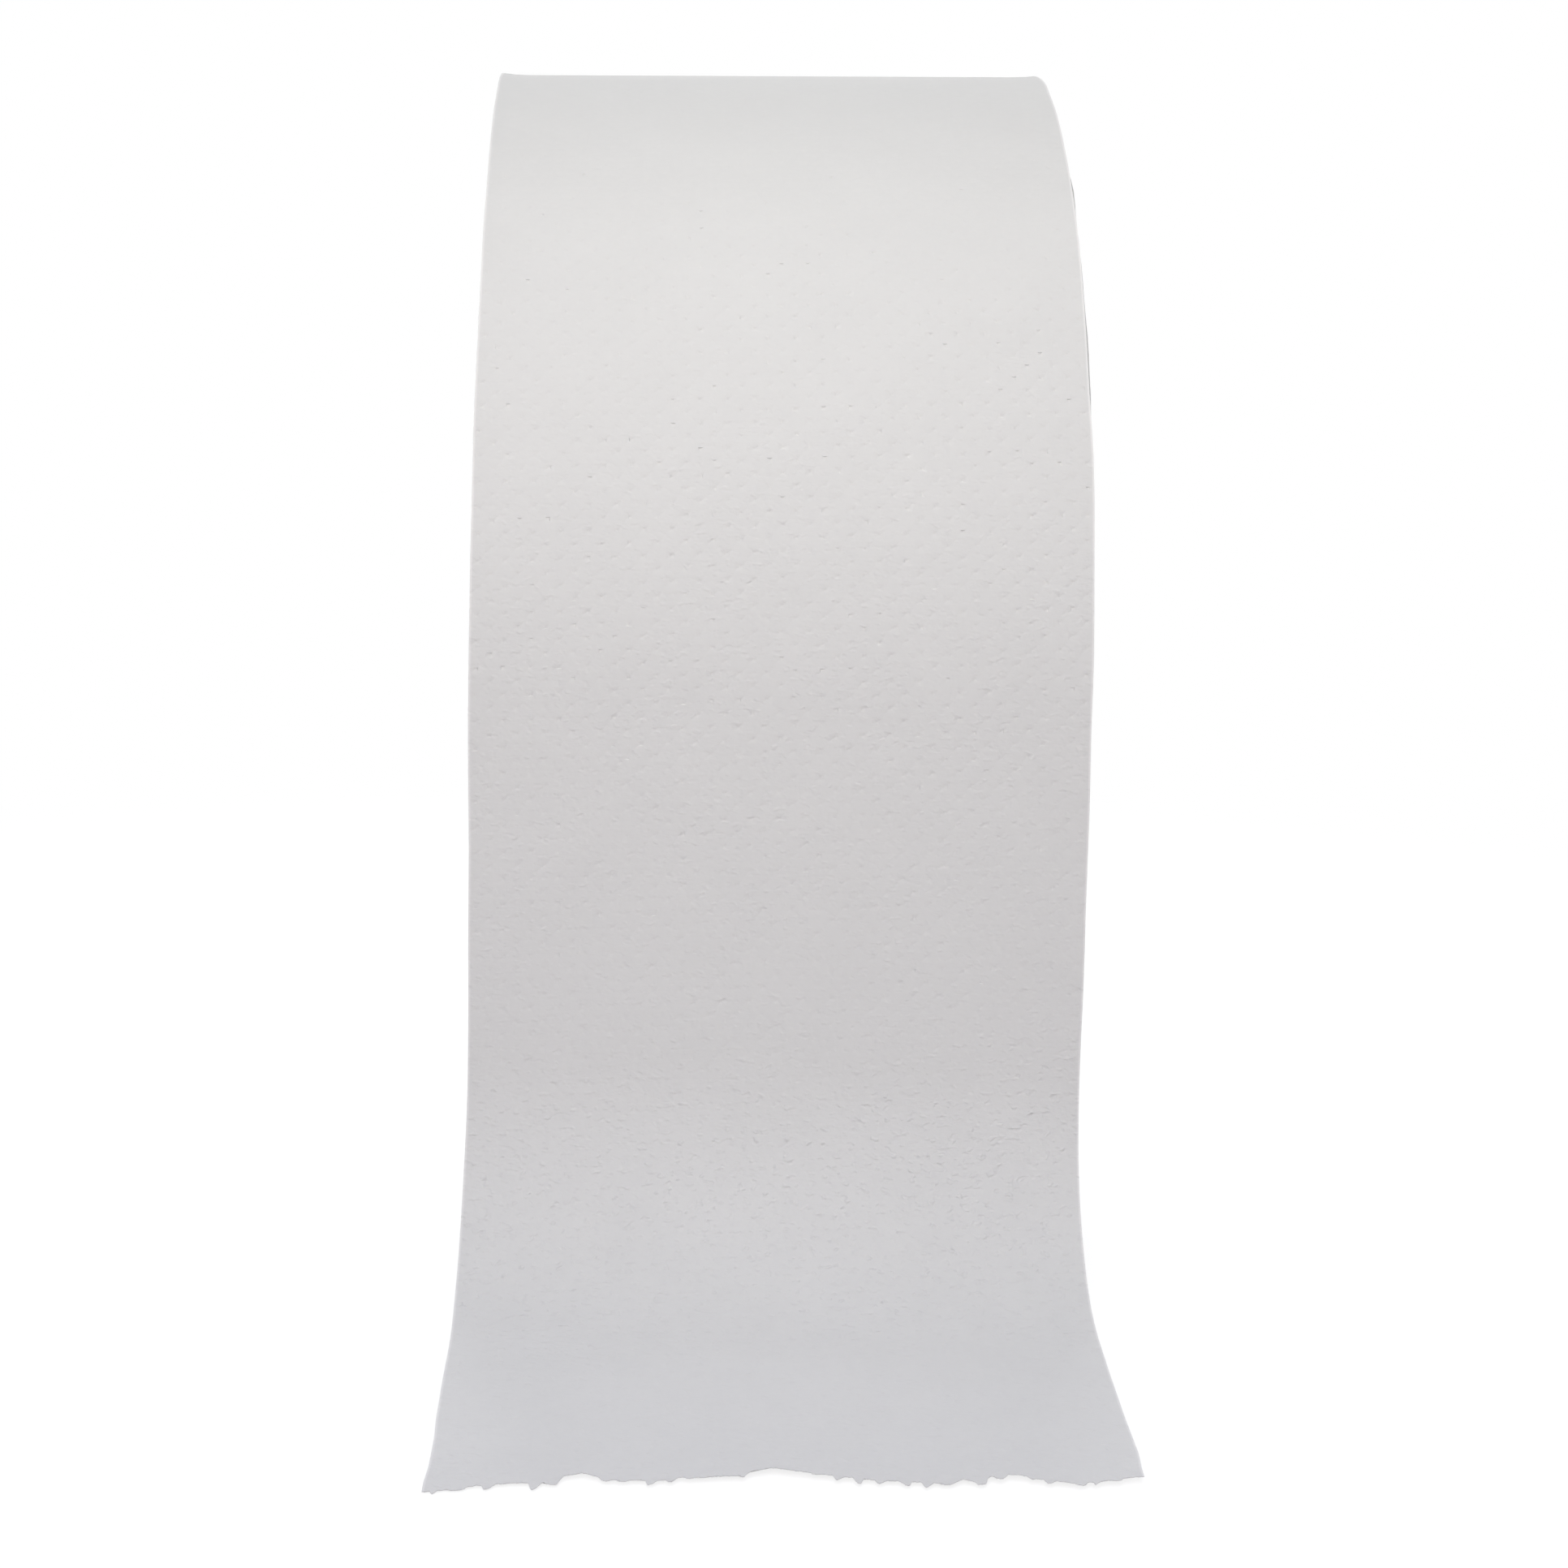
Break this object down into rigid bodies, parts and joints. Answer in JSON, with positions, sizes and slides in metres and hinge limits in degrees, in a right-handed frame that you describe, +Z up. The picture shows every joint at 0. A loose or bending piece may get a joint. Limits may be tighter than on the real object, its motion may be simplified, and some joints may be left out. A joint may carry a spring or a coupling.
{
  "type": "jumbo toilet paper roll",
  "caption": "Large toilet paper roll on a cardboard core, standing on its rim, its loose end hanging down the front and lying forward to a ragged torn edge.",
  "frame": {"origin": "middle of the core's axis", "axes": "+X along the core's axis, +Z up, and the loose end leaves the roll towards -Y"},
  "size_m": [0.095, 0.272, 0.1993],
  "materials": {
    "tissue": "matte",
    "cardboard": "matte"
  },
  "bodies": {
    "root": {"paper_roll": "tissue", "core_tube": "cardboard"}
  },
  "joints": []
}
